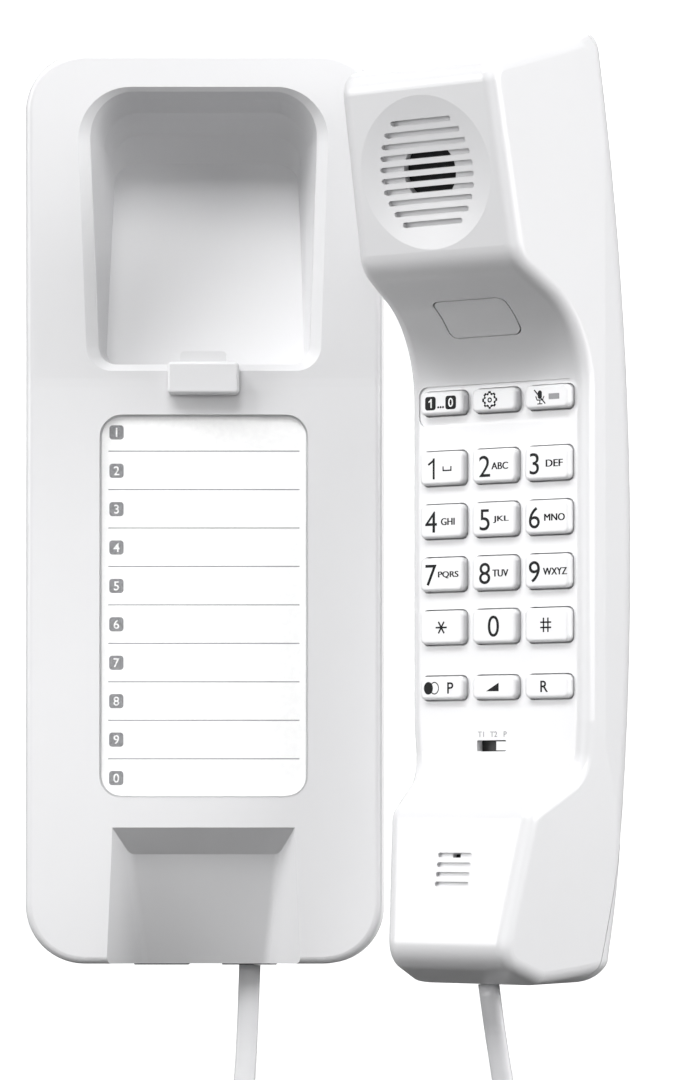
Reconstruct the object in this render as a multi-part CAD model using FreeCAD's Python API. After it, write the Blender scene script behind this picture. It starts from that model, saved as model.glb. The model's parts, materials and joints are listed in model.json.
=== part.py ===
"""Slimline wall telephone: a wall base with a moulded cradle and a corded keypad handset.

Frame: +Z up, the wall is the plane Y = 0, the base faces -Y, +X is to the right. The origin is the
middle of the two wall keyholes. Lengths are millimetres. The handset is modelled face on, in its own
frame (s across, h out of the keypad face, z up, which are x, -y, z), and then set beside the base.
"""
import FreeCAD, Part
import math
import os

os.makedirs("parts", exist_ok=True)
V = FreeCAD.Vector

# ---- base: driving sizes ----
BASE_WIDTH = 80.2
BASE_HEIGHT = 202.3
BASE_DEPTH = 27.0          # wall to the flat lower face
BASE_LEAN = 6.0            # extra depth at the top of the sloping upper face
CREASE_Z = 27.8            # where the sloping face starts
BASE_CORNER = 13.0
DRAFT = 1.3                # how much narrower the front outline is than the rear one
WALL = 2.2
CUP_WALL = 1.8
COVER_THICK = 2.6
KEYHOLE_SPACING = 83.0
KEYHOLE_R = 2.25
KEYHOLE_HEAD_R = 4.4
KEYHOLE_NECK = 1.4         # half width of the neck that the screw's shank clicks through
BASE_SCREWS = ((-32.0, -82.0), (32.0, -82.0), (0.0, 94.5))
CORD_JACK_X = 9.8
LINE_JACK_X = -9.8
FOOT_ROWS = (72.0, -68.0)
FOOT_WIDTH = 52.0
FOOT_HEIGHT = 9.0

# ---- earpiece pocket in the base ----
POCKET_BOTTOM = 31.9
POCKET_BEVEL = 1.7
POCKET_FLOOR_Y = -6.8      # floor depth under its top edge
POCKET_FLOOR_TOP = 79.2
POCKET_FLOOR_SLOPE = 0.208

# ---- mouthpiece recess in the base ----
RECESS_TOP = -70.3
RECESS_SHOULDER = -76.3    # foot of the sloping top wall
RECESS_DEPTH_TOP = 6.0
RECESS_DEPTH_END = 12.2

# ---- directory card ----
CARD_WIDTH = 46.0
CARD_HEIGHT = 84.5
CARD_Z = -21.5
CARD_CORNER = 5.0

# ---- handset ----
HS_WIDTH = 46.0
HS_TOP = 100.5
HS_BOTTOM = -102.8
HS_WALL = 2.0
BACK_RADIUS = 450.0        # bow of the back, seen from the side
BACK_APEX_Z = -12.0
BACK_APEX_H = -22.0
SEAM = 5.0                 # seam between the two shells, in from the back
EAR_TOP_Z = 86.5           # ends of the sloping earpiece face: height z and reach h
EAR_TOP_H = 32.0
EAR_LOW_Z = 46.0
EAR_LOW_H = 23.0
MOUTH_TOP_Z = -66.0        # ends of the sloping mouthpiece face
MOUTH_TOP_H = 14.4
MOUTH_LOW_Z = -98.0
MOUTH_LOW_H = 21.1
EAR_SLOPE = (EAR_TOP_H - EAR_LOW_H) / (EAR_TOP_Z - EAR_LOW_Z)
MOUTH_SLOPE = (MOUTH_LOW_H - MOUTH_TOP_H) / (MOUTH_TOP_Z - MOUTH_LOW_Z)
HS_SCREW_Z = (84.0, -68.0)
CORD_H = 3.6               # where the cord leaves the handset, in front of the keypad plane

# ---- earpiece and mouthpiece slots ----
EAR_CENTRE_Z = 65.6
EAR_SLOT_HALVES = (7.45, 9.35, 10.45, 11.1, 11.5, 11.45, 11.2, 10.45, 9.25, 7.45)
EAR_SLOT_PITCH = 2.34
EAR_SLOT_HEIGHT = 1.15
EAR_DISH_R = 16.0
EAR_DISH_DEPTH = 1.1
EAR_OPEN_R = 6.4
MIC_Z = -78.7
MIC_SLOT_PITCH = 2.05

# ---- hook flap in the neck, as (height z, reach h) ----
FLAP_WIDTH = 17.6
FLAP_LOW = (33.7, 4.1)
FLAP_HIGH = (40.4, 12.0)

# ---- dial mode switch ----
SWITCH_X = -1.55
SWITCH_Z = -52.75
SWITCH_W = 7.3
SWITCH_H = 2.4
KNOB_X = 0.65

# ---- keys ----
COLUMN_PITCH = 13.25
DIGIT_ROWS = (6.5, -4.85, -16.2, -27.5)
TOP_ROW = 20.4
LOW_ROW = -40.4
KEY_WIDTH = 11.1
DIGIT_KEY = 7.2
SMALL_KEY = 5.0
KEY_GAP = 0.3
KEY_RISE = 1.6
KEY_TRAVEL = 0.8

# ---- handset at rest, beside the base ----
REST_X = 63.35
REST_Y = -65.66
REST_TURN = -35.0

# ---- cord ----
CORD_WIDTH = 4.8
CORD_THICK = 2.6
COIL_DIAMETER = 11.5
ROUTE = [
    (9.8, -7.95, -101.2), (9.3, -8.3, -118.0), (8.0, -9.8, -136.0), (5.0, -13.0, -162.0),
    (1.8, -17.5, -192.0), (0.6, -21.0, -220.0), (2.3, -23.5, -248.4), (16.2, -31.0, -270.2),
    (38.7, -43.8, -278.5), (61.2, -56.6, -270.2), (75.1, -64.5, -248.4), (76.9, -66.2, -221.0),
    (76.0, -67.4, -192.0), (72.6, -68.3, -164.0), (67.6, -68.7, -140.0), (63.5, -68.65, -120.0),
    (61.3, -68.6, -102.8),
]


# ---------------------------------------------------------------- helpers
def rounded_outline(corners, place):
    """Closed wire through (a, b, radius) corners with tangent arcs; place maps a flat point to space."""
    count = len(corners)
    spans = []
    for i in range(count):
        a, b, r = corners[i]
        p = V(a, b, 0)
        if r <= 0:
            spans.append((p, None, p))
            continue
        before = (V(*corners[i - 1][:2], 0) - p).normalize()
        after = (V(*corners[(i + 1) % count][:2], 0) - p).normalize()
        half = before.getAngle(after) / 2
        centre = p + (before + after).normalize() * (r / math.sin(half))
        middle = centre + (p - centre).normalize() * r
        reach = r / math.tan(half)
        spans.append((p + before * reach, middle, p + after * reach))
    edges = []
    for i in range(count):
        start, middle, end = spans[i]
        if middle is not None:
            edges.append(Part.Arc(place(start), place(middle), place(end)).toShape())
        following = spans[(i + 1) % count][0]
        if (following - end).Length > 1e-6:
            edges.append(Part.LineSegment(place(end), place(following)).toShape())
    return Part.Wire(Part.__sortEdges__(edges))


def across(corners, half_width):
    """Side outline of (z, h, radius) corners, extruded across the object."""
    wire = rounded_outline(corners, lambda p: V(-half_width, -p.y, p.x))
    return Part.Face(wire).extrude(V(2 * half_width, 0, 0))


def facing(corners, y_front, depth):
    """Front outline of (x, z, radius) corners, extruded from y_front back by depth."""
    wire = rounded_outline(corners, lambda p: V(p.x, y_front, p.y))
    return Part.Face(wire).extrude(V(0, depth, 0))


def rounded_rect(width, height, r, x=0.0, z=0.0):
    hw = width / 2
    hh = height / 2
    return [(x - hw, z + hh, r), (x + hw, z + hh, r), (x + hw, z - hh, r), (x - hw, z - hh, r)]


def plate(width, height, r, x, z, y_front, depth):
    return facing(rounded_rect(width, height, r, x, z), y_front, depth)


def box(x0, x1, y0, y1, z0, z1):
    return Part.makeBox(x1 - x0, y1 - y0, z1 - z0, V(x0, y0, z0))


def rod(r, start, direction, length):
    return Part.makeCylinder(r, length, V(*start), V(*direction))


def join(shapes):
    solid = shapes[0]
    for other in shapes[1:]:
        solid = solid.fuse(other)
    return solid.removeSplitter()


def sharp_edges(solid, keep, least_angle=20):
    """Edges where two faces meet at an angle, at midpoints that keep() accepts."""
    faces = {}
    for face in solid.Faces:
        for edge in face.Edges:
            faces.setdefault(edge.hashCode(), []).append(face)
    found = []
    for edge in solid.Edges:
        pair = faces.get(edge.hashCode(), [])
        if len(pair) != 2:
            continue
        mid = edge.valueAt((edge.FirstParameter + edge.LastParameter) / 2)
        normals = [face.normalAt(*face.Surface.parameter(mid)) for face in pair]
        if math.degrees(normals[0].getAngle(normals[1])) > least_angle and keep(mid):
            found.append(edge)
    return found


def soften(solid, radii, keep):
    """Fillet the kept edges with the largest of the radii that closes."""
    for r in radii:
        edges = sharp_edges(solid, keep)
        try:
            rounded = solid.makeFillet(r, edges)
        except Part.OCCError:
            continue
        if rounded.isValid() and len(rounded.Solids) == 1:
            return rounded
    print("edges left sharp")
    return solid


def save(name, solid):
    solids = solid.Solids
    if len(solids) != 1 or not solid.isValid():
        print("CHECK", name, "solids", len(solids), "valid", solid.isValid())
    solid.exportStep("parts/" + name + ".step")


# ---------------------------------------------------------------- base
def base_block(inset):
    """Drafted block with the flat lower face and the sloping upper face."""
    rear = rounded_rect(BASE_WIDTH - 2 * inset, BASE_HEIGHT - 2 * inset, BASE_CORNER - inset)
    front = rounded_rect(BASE_WIDTH - 2 * (inset + DRAFT), BASE_HEIGHT - 2 * (inset + DRAFT),
                         BASE_CORNER - inset)
    rear_wire = rounded_outline(rear, lambda p: V(p.x, 0, p.y))
    front_wire = rounded_outline(front, lambda p: V(p.x, -40, p.y))
    block = Part.makeLoft([rear_wire, front_wire], True, True)
    top_h = BASE_DEPTH + BASE_LEAN * (130 - CREASE_Z) / (BASE_HEIGHT / 2 - CREASE_Z)
    side = [(-130, -1, 0), (-130, BASE_DEPTH - inset, 0), (CREASE_Z, BASE_DEPTH - inset, 25),
            (130, top_h - inset, 0), (130, -1, 0)]
    return block.common(across(side, 60))


def pocket_section(y, top, half_top, half_bottom, r_top, grow):
    corners = [(-half_top - grow, top + grow, r_top + grow), (half_top + grow, top + grow, r_top + grow),
               (half_bottom + grow, POCKET_BOTTOM - grow, 4.0 + grow),
               (-half_bottom - grow, POCKET_BOTTOM - grow, 4.0 + grow)]
    return rounded_outline(corners, lambda p: V(p.x, y, p.y))


def pocket(grow):
    """Well that takes the earpiece: drafted sides, coved top wall, floor sloping up towards the bottom."""
    sections = [(-42.0, 92.2, 27.6, 25.2, 10.5), (-24.0, 91.0, 24.4, 23.0, 9.5),
                (-16.0, 89.2, 22.8, 22.0, 8.0), (-10.0, 85.0, 21.3, 20.8, 6.5), (-4.0, 74.0, 19.6, 19.6, 5.0)]
    spans = [pocket_section(y, top, ht, hb, r, grow) for y, top, ht, hb, r in sections]
    well = Part.makeLoft(spans, True, True)
    floor = POCKET_FLOOR_Y + grow
    low = -10
    high = 130
    side = [(low, 60, 0), (low, -(floor + POCKET_FLOOR_SLOPE * (low - POCKET_FLOOR_TOP)), 0),
            (high, -(floor + POCKET_FLOOR_SLOPE * (high - POCKET_FLOOR_TOP)), 0), (high, 60, 0)]
    return well.common(across(side, 60))


def pocket_bevel():
    """Bevel around the pocket's mouth, square to the sloping face."""
    lean = math.degrees(math.atan(BASE_LEAN / (BASE_HEIGHT / 2 - CREASE_Z)))
    wires = []
    for depth, grow in ((2.4, -0.9), (-1.6, POCKET_BEVEL + 1.4)):
        corners = [(-26.4 - grow, 91.1 + grow, 10 + grow), (26.4 + grow, 91.1 + grow, 10 + grow),
                   (24.2 + grow, POCKET_BOTTOM - grow, 4 + grow), (-24.2 - grow, POCKET_BOTTOM - grow, 4 + grow)]
        wires.append(rounded_outline(corners, lambda p: V(p.x, -BASE_DEPTH + depth, p.y)))
    ring = Part.makeLoft(wires, True, True)
    ring.rotate(V(0, -BASE_DEPTH, CREASE_Z), V(1, 0, 0), lean)
    return ring


def recess(grow):
    """Mouthpiece recess: a shallow trough with sloping sides, open at the bottom edge."""
    wires = []
    for z, mouth, floor, depth in ((-66.0, 20.0, 17.8, 3.5), (RECESS_SHOULDER, 20.3, 16.5, RECESS_DEPTH_TOP),
                                   (-104.0, 21.5, 13.3, RECESS_DEPTH_END + 0.6)):
        slope = (mouth - floor) / depth
        corners = [(-mouth - 8 * slope - grow, -BASE_DEPTH - 8, 0), (mouth + 8 * slope + grow, -BASE_DEPTH - 8, 0),
                   (floor + grow, -BASE_DEPTH + depth + grow, 2.0), (-floor - grow, -BASE_DEPTH + depth + grow, 2.0)]
        wires.append(rounded_outline(corners, lambda p: V(p.x, p.y, z)))
    trough = Part.makeLoft(wires, True, True)
    rise = (RECESS_TOP - RECESS_SHOULDER) / RECESS_DEPTH_TOP
    top = RECESS_TOP + grow
    side = [(-140, 60, 0), (-140, -1, 0), (top - rise * 30, BASE_DEPTH - 30, 0),
            (top + rise * 20, BASE_DEPTH + 20, 0), (top + rise * 20, 60, 0)]
    return trough.common(across(side, 60))


def base_front_shell():
    outer = soften(base_block(0), (1.6, 1.2, 0.8), lambda m: m.y < -20)
    solid = outer.cut(base_block(WALL))
    cups = outer.common(pocket(CUP_WALL).fuse(recess(CUP_WALL)))
    backing = plate(CARD_WIDTH + 5, CARD_HEIGHT + 5, CARD_CORNER + 1, 0, CARD_Z, -BASE_DEPTH + 1.5, 2.2)
    posts = [rod(3.2, (x, -BASE_DEPTH + 1.5, z), (0, 1, 0), BASE_DEPTH - 1.5 - COVER_THICK)
             for x, z in BASE_SCREWS]
    tab_frame = box(-8.2, 8.2, -BASE_DEPTH + 1.0, -BASE_DEPTH + 8, 23.6, 31.2)
    solid = join([solid, cups.cut(box(-60, 60, 0, 20, -130, 130)), backing, tab_frame] + posts)
    for x, z in BASE_SCREWS:
        solid = solid.cut(rod(1.25, (x, -16, z), (0, 1, 0), 20))
    solid = solid.cut(pocket(0)).cut(pocket_bevel()).cut(recess(0))
    solid = solid.cut(plate(CARD_WIDTH, CARD_HEIGHT, CARD_CORNER, 0, CARD_Z, -BASE_DEPTH - 1, 2.6))
    solid = solid.cut(box(-6.2, 6.2, -40, -BASE_DEPTH + 9, 25.4, 29.6))
    for x in (CORD_JACK_X, LINE_JACK_X):
        solid = solid.cut(box(x - 6.3, x + 6.3, -13.4, -2.4, -105, -98))
    return solid


def base_rear_cover():
    """Flat rear cover with two keyholes for wall screws and two pockets for the feet."""
    wide = BASE_WIDTH - 2 * WALL - 0.6
    tall = BASE_HEIGHT - 2 * WALL - 0.6
    cover = plate(wide, tall, BASE_CORNER - WALL - 0.3, 0, 0, -COVER_THICK, COVER_THICK)
    for side in (1, -1):
        seat = side * KEYHOLE_SPACING / 2
        cover = cover.cut(rod(KEYHOLE_HEAD_R, (0, -10, seat - 9.0), (0, 1, 0), 20))
        cover = cover.cut(rod(KEYHOLE_R, (0, -10, seat), (0, 1, 0), 20))
        cover = cover.cut(box(-KEYHOLE_NECK, KEYHOLE_NECK, -10, 10, seat - 9.0, seat))
    for z in FOOT_ROWS:
        cover = cover.cut(plate(FOOT_WIDTH, FOOT_HEIGHT, 2.5, 0, z, -1.2, 3))
    for x, z in BASE_SCREWS:
        cover = cover.cut(rod(1.5, (x, -10, z), (0, 1, 0), 20))
        cover = cover.cut(rod(2.9, (x, -1.5, z), (0, 1, 0), 5))
    for k in range(5):
        cover = cover.cut(plate(18, 1.6, 0.7, 0, 12 - 4 * k, -10, 20))
    return cover


def screw(x, z, y_head, y_tip, head_r=2.8, shank_r=1.25):
    """Pan head screw that points into the object, towards y_tip."""
    head = rod(head_r, (x, y_head - 1.4, z), (0, 1, 0), 1.4)
    head = head.cut(box(x - 0.35, x + 0.35, y_head - 0.7, y_head + 1, z - 1.7, z + 1.7))
    head = head.cut(box(x - 1.7, x + 1.7, y_head - 0.7, y_head + 1, z - 0.35, z + 0.35))
    return head.fuse(rod(shank_r, (x, y_tip, z), (0, 1, 0), y_head - 1.4 - y_tip))


def cradle_tab():
    """Reversible hook tab: a rounded block with a tongue above it and a stem in the base."""
    front = -BASE_DEPTH - 4.2
    body = plate(15.7, 7.1, 1.0, 0, 28.5, front, 3.7)
    body = soften(body, (0.7, 0.5), lambda m: m.y < front + 0.1)
    tongue = plate(10.2, 6.0, 1.0, 0, 31.4, -BASE_DEPTH - 3.2, 2.2)
    stem = box(-5.9, 5.9, -BASE_DEPTH - 1, -BASE_DEPTH + 7, 25.7, 29.3)
    return join([body, tongue, stem])


def jack(x, z_low, y_low, y_high, width, tall, hole_w, hole_h, up):
    """Modular jack: a block with a square mouth at its lower end."""
    body = box(x - width / 2, x + width / 2, y_low, y_high, z_low, z_low + tall)
    y_mid = (y_low + y_high) / 2
    mouth = box(x - hole_w / 2, x + hole_w / 2, y_mid - hole_h / 2, y_mid + hole_h / 2, z_low - 1, z_low + up)
    return body.cut(mouth)


def modular_plug(x, y, z_low, z_high, width=7.5, depth=6.2):
    """Clear cord plug with a collar for the cord at its lower end."""
    return join([box(x - width / 2, x + width / 2, y - depth / 2, y + depth / 2, z_low, z_high),
                 box(x - 3.2, x + 3.2, y - 2.2, y + 2.2, z_low - 2.5, z_low + 1)])


def make_base():
    save("base_front_shell", base_front_shell())
    save("base_rear_cover", base_rear_cover())
    save("cradle_tab", cradle_tab())
    save("directory_card", plate(CARD_WIDTH - 0.8, CARD_HEIGHT - 0.8, CARD_CORNER - 0.4, 0, CARD_Z,
                                 -BASE_DEPTH + 1.2, 0.4))
    save("card_window", plate(CARD_WIDTH - 0.3, CARD_HEIGHT - 0.3, CARD_CORNER - 0.15, 0, CARD_Z,
                              -BASE_DEPTH, 1.2))
    save("base_circuit_board", box(-26, 26, -10.0, -8.4, -66, -30))
    save("base_weight", box(-27, 27, -11.0, -7.0, -20, 22))
    ringer = rod(13.5, (0, -15.2, -48), (0, 1, 0), 5.2)
    save("ringer", ringer)
    save("line_jack", jack(LINE_JACK_X, -101.0, -13.2, -2.7, 12.2, 15, 9.8, 7.0, 12))
    save("cord_jack", jack(CORD_JACK_X, -101.0, -13.2, -2.7, 12.2, 15, 7.9, 6.6, 12))
    save("base_cord_plug", modular_plug(CORD_JACK_X, -7.95, -98.6, -89.2))
    for name, z in zip(("foot_upper", "foot_lower"), FOOT_ROWS):
        save(name, plate(FOOT_WIDTH - 0.3, FOOT_HEIGHT - 0.3, 2.3, 0, z, -1.2, 1.2))
    for i, (x, z) in enumerate(BASE_SCREWS):
        save("base_screw_%d" % (i + 1), screw(x, z, -0.1, -14))


# ---------------------------------------------------------------- handset, in its own frame
def back_h(z, inset=0.0):
    return BACK_APEX_H + BACK_RADIUS - math.sqrt((BACK_RADIUS - inset) ** 2 - (z - BACK_APEX_Z) ** 2)


def back_cylinder(inset):
    """Everything in front of the back surface moved in by inset."""
    centre_h = BACK_APEX_H + BACK_RADIUS
    return rod(BACK_RADIUS - inset, (-60, -centre_h, BACK_APEX_Z), (1, 0, 0), 120)


def around_back(corners, half_angle=17.0):
    """Cross section of (s, h, radius) corners swept along the bowed back."""
    pivot = V(0, -(BACK_APEX_H + BACK_RADIUS), BACK_APEX_Z)
    face = Part.Face(rounded_outline(corners, lambda p: V(p.x, -p.y, BACK_APEX_Z)))
    face.rotate(pivot, V(1, 0, 0), -half_angle)
    return face.revolve(pivot, V(1, 0, 0), 2 * half_angle)


def outside_of(a, b, c):
    """Everything on the right of the plane s = a + b h + c z."""
    block = Part.makeBox(100, 400, 400, V(0, -200, -200))
    block.Placement = FreeCAD.Placement(V(a, 0, 0), FreeCAD.Rotation(V(1, 0, 0), V(1, b, -c)))
    return block


def handset_profile(inset):
    """Side outline as (z, h, radius) corners. around_back() gives the back, and the plan the lower end."""
    bottom = HS_BOTTOM + inset - 0.6
    return [(HS_TOP - inset + 7, back_h(HS_TOP) - 30, 0), (EAR_TOP_Z - inset, EAR_TOP_H - inset, 4.5),
            (EAR_LOW_Z + 0.6 * inset, EAR_LOW_H - inset, 8), (34.5 + 0.6 * inset, -inset, 22),
            (-58 - 0.5 * inset, -inset, 7), (MOUTH_TOP_Z - 0.5 * inset, MOUTH_TOP_H - inset, 5),
            (MOUTH_LOW_Z + 0.7 * inset, MOUTH_LOW_H - inset, 6), (bottom, 6, 8),
            (bottom, back_h(HS_BOTTOM) - 30, 0)]


def handset_solid(inset):
    half = HS_WIDTH / 2 - inset
    side = across(handset_profile(inset), 40)
    plan = facing([(-half, HS_TOP - inset, 11 - inset / 2), (half, HS_TOP - inset, 11 - inset / 2),
                   (half, HS_BOTTOM + inset, 11 - inset / 2), (-half, HS_BOTTOM + inset, 11 - inset / 2)],
                  -60, 120)
    back = around_back([(-half, BACK_APEX_H + inset, 8 - inset / 2), (half, BACK_APEX_H + inset, 8 - inset / 2),
                        (half, 60, 0), (-half, 60, 0)])
    tapers = outside_of(22.35 - inset, -0.105, 0).fuse(outside_of(25.4 - inset, -0.198, 0.069))
    return side.common(plan).common(back).cut(tapers).cut(tapers.mirror(V(0, 0, 0), V(1, 0, 0)))


def ear_frame(solid):
    """Move a solid made about the origin, face on, to the middle of the earpiece face."""
    solid.rotate(V(0, 0, 0), V(1, 0, 0), math.degrees(math.atan(EAR_SLOPE)))
    solid.translate(V(0, -(EAR_LOW_H + EAR_SLOPE * (EAR_CENTRE_Z - EAR_LOW_Z)), EAR_CENTRE_Z))
    return solid


def mouth_frame(solid):
    """Move a solid made about the origin, face on, to the microphone slots."""
    solid.rotate(V(0, 0, 0), V(1, 0, 0), -math.degrees(math.atan(MOUTH_SLOPE)))
    solid.translate(V(0, -(MOUTH_TOP_H + MOUTH_SLOPE * (MOUTH_TOP_Z - MIC_Z)), MIC_Z))
    return solid


def slot(width, height, x, z, y0, y1):
    return plate(width, height, height / 2 - 0.05, x, z, y0, y1 - y0)


def ear_slots():
    """Concave dish, ten shallow slots in it, and the open part of the middle four."""
    ball_r = (EAR_DISH_R ** 2 + EAR_DISH_DEPTH ** 2) / (2 * EAR_DISH_DEPTH)
    cuts = [Part.makeSphere(ball_r, V(0, EAR_DISH_DEPTH - ball_r, 0))]
    open_part = rod(EAR_OPEN_R, (0, -5, 0), (0, 1, 0), 15)
    for k, half in enumerate(EAR_SLOT_HALVES):
        z = (4.5 - k) * EAR_SLOT_PITCH
        shallow = slot(2 * half, EAR_SLOT_HEIGHT, 0, z, -3, 1.75)
        cuts.append(shallow)
        if abs(z) < 4:
            cuts.append(slot(2 * half, EAR_SLOT_HEIGHT, 0, z, -3, 10).common(open_part))
    return [ear_frame(cut) for cut in cuts]


def mic_slots():
    cuts = [slot(8.4, 1.05, 0, (1.5 - k) * MIC_SLOT_PITCH, -3, 0.8) for k in range(4)]
    cuts.append(box(-0.95, 0.95, -3, 10, 1.5 * MIC_SLOT_PITCH - 0.5, 1.5 * MIC_SLOT_PITCH + 0.5))
    return [mouth_frame(cut) for cut in cuts]


def flap_cutter(gap):
    """Block through the neck wall that outlines the hook flap, square to the wall at both ends."""
    low = V(FLAP_LOW[0], FLAP_LOW[1], 0)
    high = V(FLAP_HIGH[0], FLAP_HIGH[1], 0)
    along = (high - low).normalize()
    out = V(-along.y, along.x, 0)
    low = low - along * gap
    high = high + along * gap
    corners = [low + out * 3, high + out * 3, high - out * 3.4, low - out * 3.4]
    wire = [(p.x, p.y, 0) for p in corners]
    block = across(wire, FLAP_WIDTH / 2 + gap)
    edges = [e for e in block.Edges if abs(e.BoundBox.XLength) < 0.01 and abs(e.Length - 6.4) < 0.01]
    return block.makeFillet(1.8 + gap, edges)


def keys():
    """Name, column, z and height of each key."""
    table = [("key_memory", -1, TOP_ROW, SMALL_KEY), ("key_settings", 0, TOP_ROW, SMALL_KEY),
             ("key_mute", 1, TOP_ROW, SMALL_KEY)]
    names = [["key_1", "key_2", "key_3"], ["key_4", "key_5", "key_6"], ["key_7", "key_8", "key_9"],
             ["key_star", "key_0", "key_hash"]]
    for z, row in zip(DIGIT_ROWS, names):
        table += [(name, column, z, DIGIT_KEY) for name, column in zip(row, (-1, 0, 1))]
    return table + [("key_redial", -1, LOW_ROW, SMALL_KEY), ("key_volume", 0, LOW_ROW, SMALL_KEY),
                    ("key_flash", 1, LOW_ROW, SMALL_KEY)]


def handset_shells():
    outer = handset_solid(0)
    outer = soften(outer, (3.0, 2.5, 2.0), lambda m: -m.y - back_h(m.z) > 7)
    outer = soften(outer, (3.0, 2.0), lambda m: -m.y - back_h(m.z) <= 7)
    inner = handset_solid(HS_WALL)
    wall = outer.cut(inner)
    front = wall.common(back_cylinder(SEAM + 0.1))
    back = wall.cut(back_cylinder(SEAM - 0.1))
    lip = inner.cut(handset_solid(HS_WALL + 1.0)).common(back_cylinder(SEAM - 3)).cut(back_cylinder(SEAM + 2))
    back = join([back, lip])
    return front, back


def finish_front(front):
    """Openings, grooves and inner posts of the front shell."""
    boss = ear_frame(rod(15.5, (0, 1.0, 0), (0, 1, 0), 2.4))
    solid = join([front, boss.common(handset_solid(1.0))])
    solid = solid.cut(plate(3 * COLUMN_PITCH + 0.3, SMALL_KEY + 3.6, 2.2, 0, TOP_ROW - 0.6, -1, 1.35))
    for name, column, z, tall in keys():
        hole = plate(KEY_WIDTH + 2 * KEY_GAP, tall + 2 * KEY_GAP, 1.5, column * COLUMN_PITCH, z, -5, 10)
        solid = solid.cut(hole)
    for cut in ear_slots() + mic_slots():
        solid = solid.cut(cut)
    solid = solid.cut(flap_cutter(0.35))
    solid = solid.cut(plate(SWITCH_W, SWITCH_H, 0.3, SWITCH_X, SWITCH_Z, -1, 8))
    solid = solid.cut(box(-4.7, 4.7, -CORD_H - 3.6, -CORD_H + 3.6, HS_BOTTOM - 1, HS_BOTTOM + 4))
    for z in HS_SCREW_Z:
        post = rod(3.0, (0, -32, z), (0, 1, 0), 32 - back_h(z) - 4.0)
        post = post.cut(rod(1.2, (0, -8, z), (0, 1, 0), 40))
        solid = join([solid, post.common(handset_solid(HS_WALL * 0.5))])
    return solid


def finish_back(back):
    solid = back
    for z in HS_SCREW_Z:
        depth = -back_h(z)
        solid = solid.cut(rod(1.2, (0, -20, z), (0, 1, 0), 60))
        solid = solid.cut(rod(2.9, (0, depth - 1.5, z), (0, 1, 0), 10))
    return solid.cut(box(-4.7, 4.7, -CORD_H - 3.6, -CORD_H + 3.6, HS_BOTTOM - 1, HS_BOTTOM + 4))


def key_solid(column, z, tall):
    """Key cap with softened top edges and a retaining flange behind the wall."""
    x = column * COLUMN_PITCH
    cap = plate(KEY_WIDTH, tall, 1.3, x, z, -KEY_RISE, KEY_RISE + 2.6)
    cap = soften(cap, (0.7, 0.5), lambda m: m.y < -KEY_RISE + 0.05)
    flange = plate(KEY_WIDTH + 1.5, tall + 1.5, 1.5, x, z, HS_WALL + 0.1, 0.7)
    return join([cap, flange])


def hook_lever(front):
    """Flap cut from the neck wall itself, with a short arm to the hook switch."""
    flap = front.common(flap_cutter(0))
    arm = box(-2.5, 2.5, -9.2, 0.5, 35.2, 36.8).common(handset_solid(HS_WALL - 0.3))
    return join([flap, arm])


def handset_parts():
    front, back = handset_shells()
    parts = {"handset_front_shell": finish_front(front), "handset_back_shell": finish_back(back)}
    for name, column, z, tall in keys():
        parts[name] = key_solid(column, z, tall)
    parts["hook_lever"] = hook_lever(front)
    parts["keypad_mat"] = box(-19.8, 19.8, 4.6, 6.0, -49.5, 24.5)
    parts["handset_circuit_board"] = box(-19.5, 19.5, 6.1, 7.7, -58, 30)
    parts["hook_microswitch"] = box(-5, 5, 1.6, 6.0, 31.0, 37.5)
    parts["receiver_gasket"] = ear_frame(rod(14.5, (0, 3.4, 0), (0, 1, 0), 1.2)
                                         .cut(rod(9.0, (0, 3, 0), (0, 1, 0), 3)))
    parts["receiver_cloth"] = ear_frame(rod(8.8, (0, 3.4, 0), (0, 1, 0), 0.4))
    parts["receiver_capsule"] = ear_frame(rod(12.5, (0, 4.6, 0), (0, 1, 0), 7.0))
    parts["microphone_boot"] = mouth_frame(rod(6.0, (0, 2.3, 0), (0, 1, 0), 6.5)
                                           .cut(rod(4.8, (0, 2.2, 0), (0, 1, 0), 5)))
    parts["microphone_capsule"] = mouth_frame(rod(4.8, (0, 3.0, 0), (0, 1, 0), 4.0))
    parts["handset_weight"] = box(-12, 12, 12.0, 16.0, -50, 5)
    parts["dial_mode_switch_body"] = box(SWITCH_X - 5.5, SWITCH_X + 5.5, 2.4, 4.5, SWITCH_Z - 2.2, SWITCH_Z + 2.2)
    parts["dial_mode_slider"] = box(KNOB_X - 1.2, KNOB_X + 1.2, 0.35, 2.35, SWITCH_Z - 0.95, SWITCH_Z + 0.95)
    parts["mute_led"] = box(COLUMN_PITCH + 0.6, COLUMN_PITCH + 3.2, -KEY_RISE - 0.05, -KEY_RISE + 0.9,
                            TOP_ROW - 0.6, TOP_ROW + 0.6)
    parts["key_mute"] = parts["key_mute"].cut(parts["mute_led"])
    parts["handset_jack"] = box(-6.3, 6.3, -CORD_H - 4.6, -CORD_H + 4.6, HS_BOTTOM + 4.1, HS_BOTTOM + 18).cut(
        box(-3.95, 3.95, -CORD_H - 3.3, -CORD_H + 3.3, HS_BOTTOM + 3, HS_BOTTOM + 15))
    parts["handset_cord_plug"] = modular_plug(0, -CORD_H, HS_BOTTOM + 2.6, HS_BOTTOM + 14.8)
    for i, z in enumerate(HS_SCREW_Z):
        parts["handset_screw_%d" % (i + 1)] = screw(0, z, -back_h(z) - 0.1, -back_h(z) - 14, 2.7, 1.2)
    return parts


def make_handset():
    for name, solid in handset_parts().items():
        solid.rotate(V(0, 0, 0), V(0, 0, 1), REST_TURN)
        solid.translate(V(REST_X, REST_Y, 0))
        save(name, solid)


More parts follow.
